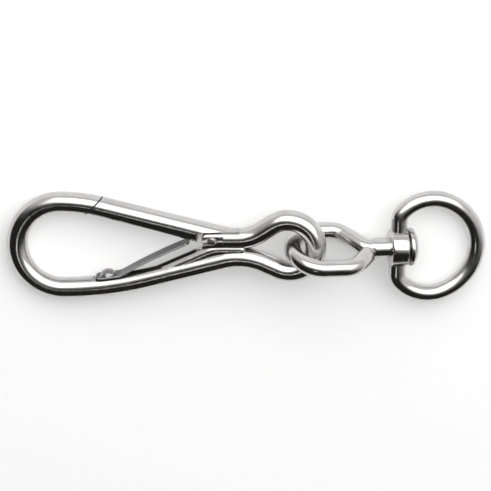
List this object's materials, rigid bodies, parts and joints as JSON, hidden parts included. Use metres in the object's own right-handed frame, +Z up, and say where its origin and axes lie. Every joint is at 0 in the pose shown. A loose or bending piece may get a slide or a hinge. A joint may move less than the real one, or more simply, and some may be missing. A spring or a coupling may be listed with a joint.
{
  "type": "swivel snap hook",
  "caption": "Swivel snap hook: a bent round-wire hook with a sprung, scarf-jointed gate, linked by its eye to a headed shank that carries a free-turning D-shaped ring.",
  "frame": {"origin": "on the floor under the middle of the object's bounding box", "axes": "+X from the hook's loop towards the ring, +Y across the hook towards the gate's side, +Z up from the floor"},
  "size_m": [0.119, 0.029, 0.0177],
  "materials": {
    "plated_hook": "bright nickel-plated steel wire",
    "plated_gate": "bright nickel-plated steel",
    "pin_steel": "plain steel rivet, peened",
    "spring_steel": "tempered spring steel",
    "plated_link": "bright nickel-plated steel wire",
    "plated_ring": "bright nickel-plated steel"
  },
  "bodies": {
    "hook": {"hook_body": "plated_hook", "gate_pin": "pin_steel", "leaf_spring": "spring_steel", "spring_rivet": "pin_steel"},
    "gate": {"gate": "plated_gate"},
    "link": {"swivel_link": "plated_link"},
    "ring": {"swivel_ring": "plated_ring"}
  },
  "joints": [
    {"name": "gate_hinge", "type": "hinge", "parent": "hook", "child": "gate", "pos_m": [-0.00836, 0.00309, 0.00702], "axis": [-0.0895, -0.0029, 0.996], "range_deg": [0, 18], "stiffness_Nm_per_rad": 0.08, "springref_deg": -20.05, "deforming": ["leaf_spring"]},
    {"name": "link_swing", "type": "hinge", "parent": "hook", "child": "link", "pos_m": [0.01724, 0.00088, 0.00932], "axis": [0.0973, 0.9179, 0.3846], "range_deg": [-60, 60]},
    {"name": "ring_swivel", "type": "hinge", "parent": "link", "child": "ring", "pos_m": [0.03775, 0.00025, 0.00563], "axis": [0.9838, -0.0303, -0.1766], "continuous": true}
  ]
}
